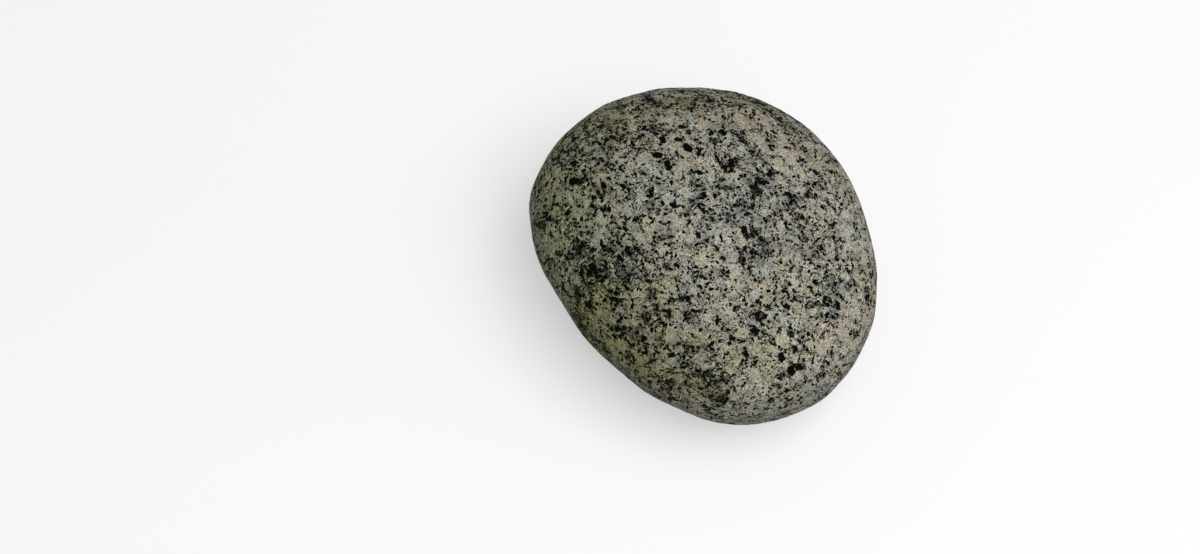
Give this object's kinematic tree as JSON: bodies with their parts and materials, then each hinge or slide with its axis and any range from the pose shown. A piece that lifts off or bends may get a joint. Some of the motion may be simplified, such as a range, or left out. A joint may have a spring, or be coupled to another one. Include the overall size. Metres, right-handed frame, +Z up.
{
  "type": "river pebble",
  "caption": "Water-worn river pebble of speckled granite: a rounded, slightly lopsided oval stone with one flatter long side, lying on its flattest face.",
  "frame": {"origin": "on the ground under the middle of the stone's box", "axes": "+X along the stone's longest extent, +Z up, the shortest extent; the flatter long side faces -Y"},
  "size_m": [0.0962, 0.0796, 0.059],
  "materials": {
    "granite": "matte, water-worn and finely granular"
  },
  "bodies": {
    "root": {"pebble": "granite"}
  },
  "joints": []
}
